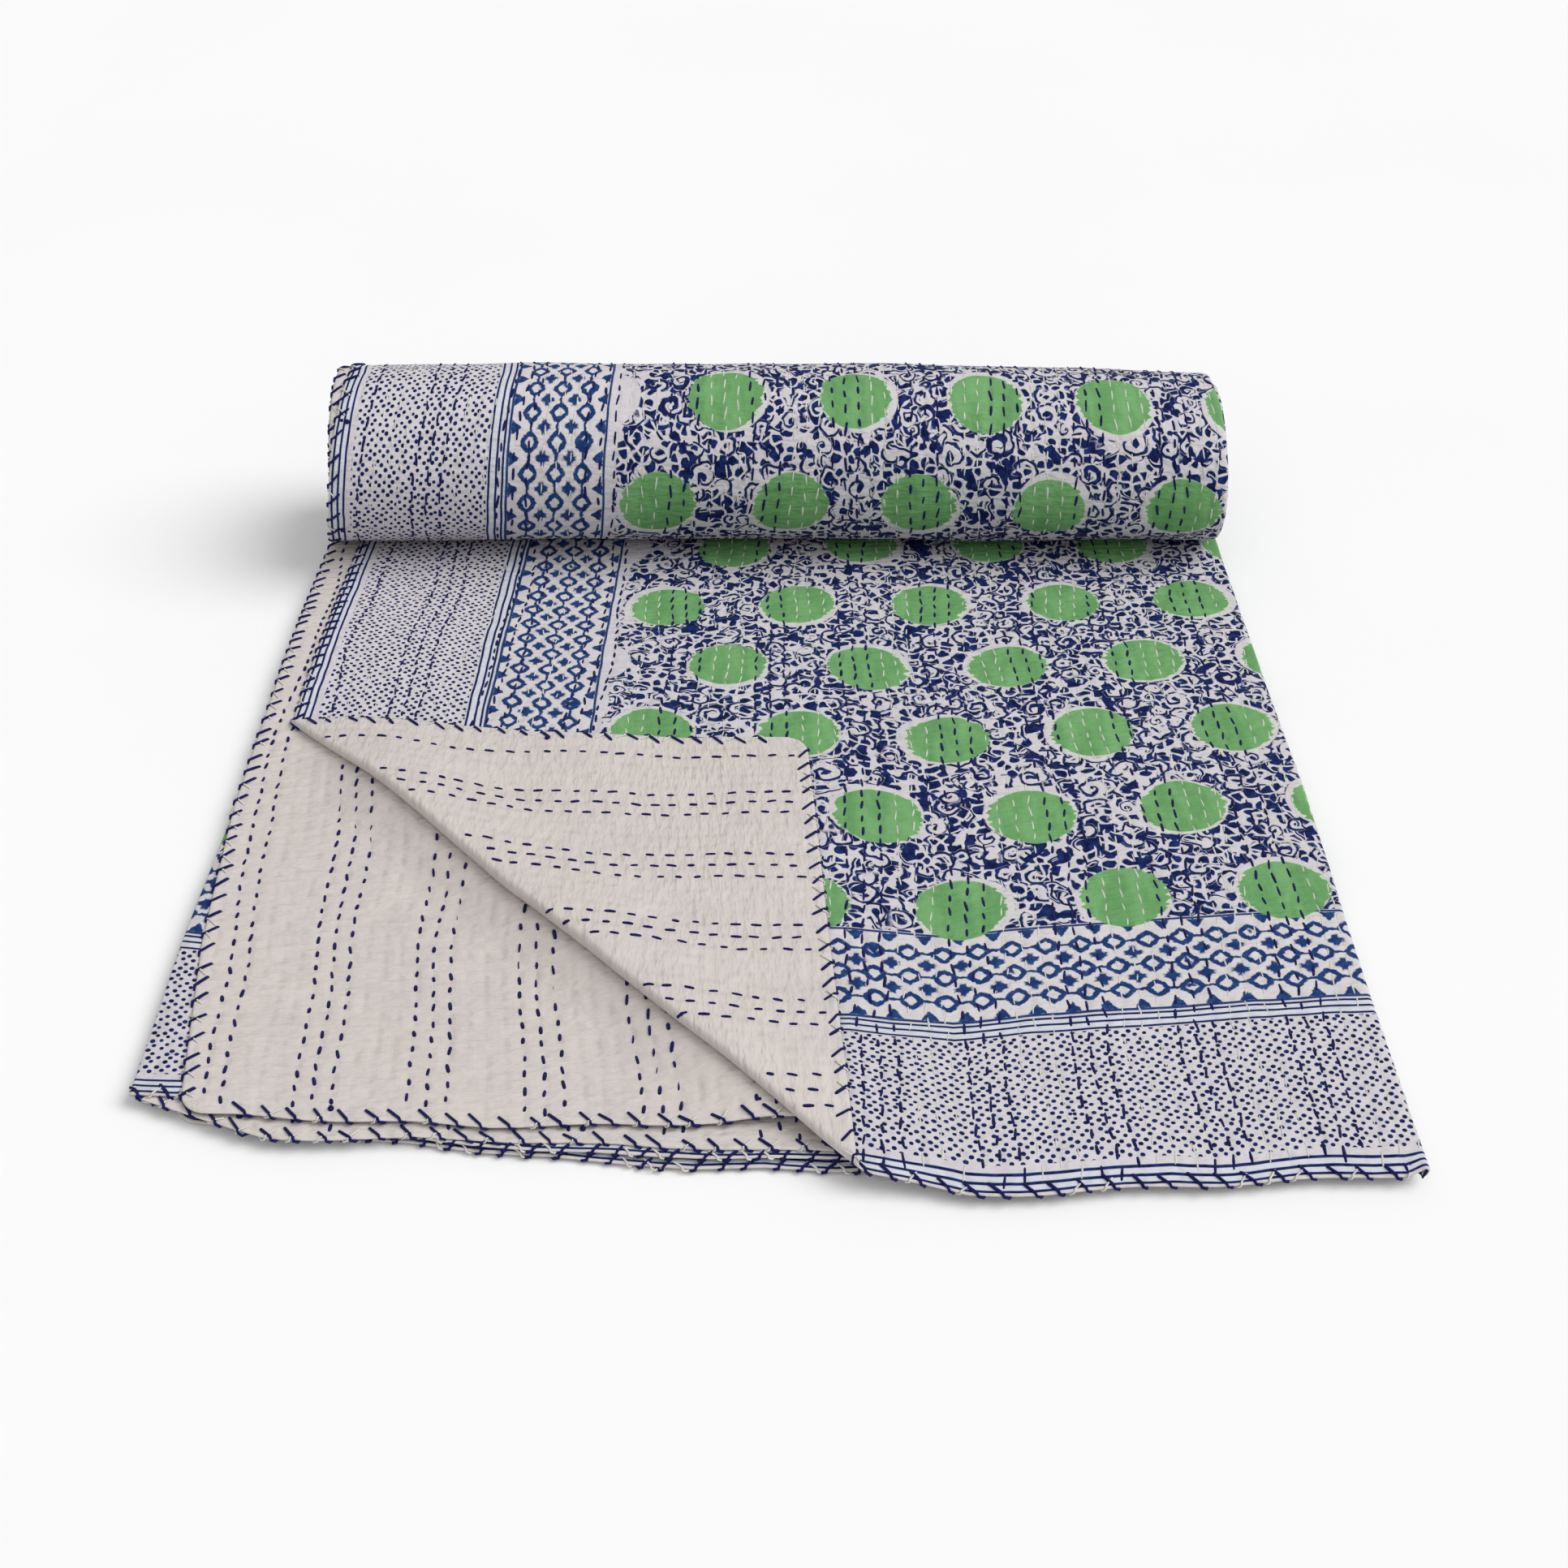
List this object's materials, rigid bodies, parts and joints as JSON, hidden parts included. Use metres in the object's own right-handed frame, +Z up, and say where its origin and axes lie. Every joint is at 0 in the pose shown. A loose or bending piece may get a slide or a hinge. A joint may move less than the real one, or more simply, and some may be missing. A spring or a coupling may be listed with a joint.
{
  "type": "kantha quilt",
  "caption": "Hand-stitched cotton quilt with a block-printed face and a plain back, folded flat, rolled up at its back end, with one front corner turned over.",
  "frame": {"origin": "middle of the footprint, on the surface that the folded quilt lies on", "axes": "+X across the stack towards its folds, -Y towards its front hems, +Z up; the roll runs along X at the +Y end"},
  "size_m": [0.6003, 0.6308, 0.1217],
  "materials": {
    "cotton": "matte"
  },
  "bodies": {
    "root": {"quilt": "cotton"}
  },
  "joints": []
}
